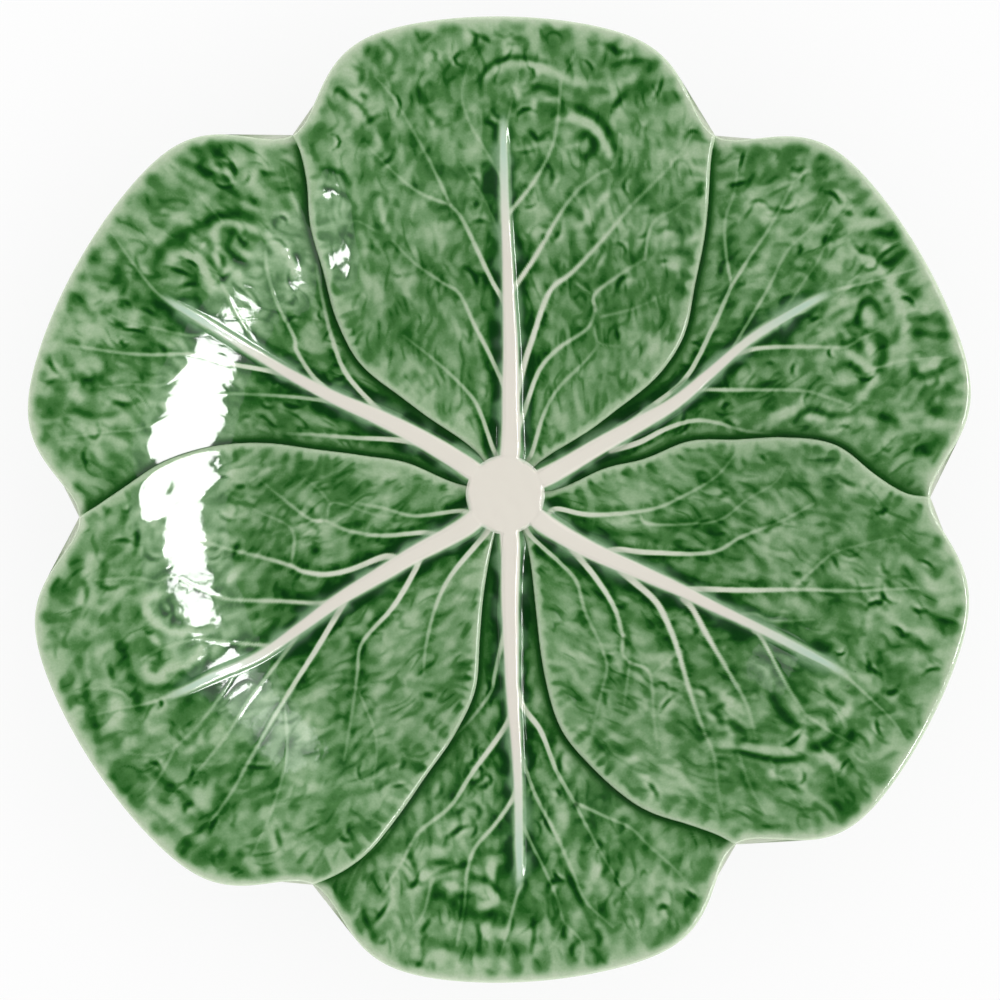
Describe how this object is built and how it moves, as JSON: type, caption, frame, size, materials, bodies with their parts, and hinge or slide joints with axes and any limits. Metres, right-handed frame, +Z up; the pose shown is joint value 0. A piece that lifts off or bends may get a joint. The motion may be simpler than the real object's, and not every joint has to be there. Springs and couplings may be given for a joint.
{
  "type": "dinner plate",
  "caption": "Dinner plate with a lobed rim, a flat well and a sloping wall, all covered by overlapping leaves with raised ribs and veins, standing on a foot ring.",
  "frame": {"origin": "on the table, under the middle of the plate's outline", "axes": "+Z up out of the well, +Y towards the top leaf, +X to the right of it, seen from above"},
  "size_m": [0.2593, 0.266, 0.0255],
  "materials": {
    "green_glaze": "clear glossy green glaze, pale where it runs thin over raised forms and dark where it pools",
    "pale_green_glaze": "the same glossy green glaze, thin and pale over the raised veins",
    "cream_glaze": "glossy cream glaze",
    "bare_clay": "glazed sides, wiped to matt cream clay where the ring stands"
  },
  "bodies": {
    "root": {"dish_body": "green_glaze", "foot_ring": "bare_clay", "leaf_upper_right": "green_glaze", "leaf_top": "green_glaze", "leaf_upper_left": "green_glaze", "leaf_lower_left": "green_glaze", "leaf_bottom": "green_glaze", "leaf_lower_right": "green_glaze", "midrib_upper_right": "cream_glaze", "midrib_top": "cream_glaze", "midrib_upper_left": "cream_glaze", "midrib_lower_left": "cream_glaze", "midrib_bottom": "cream_glaze", "midrib_lower_right": "cream_glaze", "side_veins_upper_right": "pale_green_glaze", "side_veins_top": "pale_green_glaze", "side_veins_upper_left": "pale_green_glaze", "side_veins_lower_left": "pale_green_glaze", "side_veins_bottom": "pale_green_glaze", "side_veins_lower_right": "pale_green_glaze", "stem_boss": "cream_glaze"}
  },
  "joints": []
}
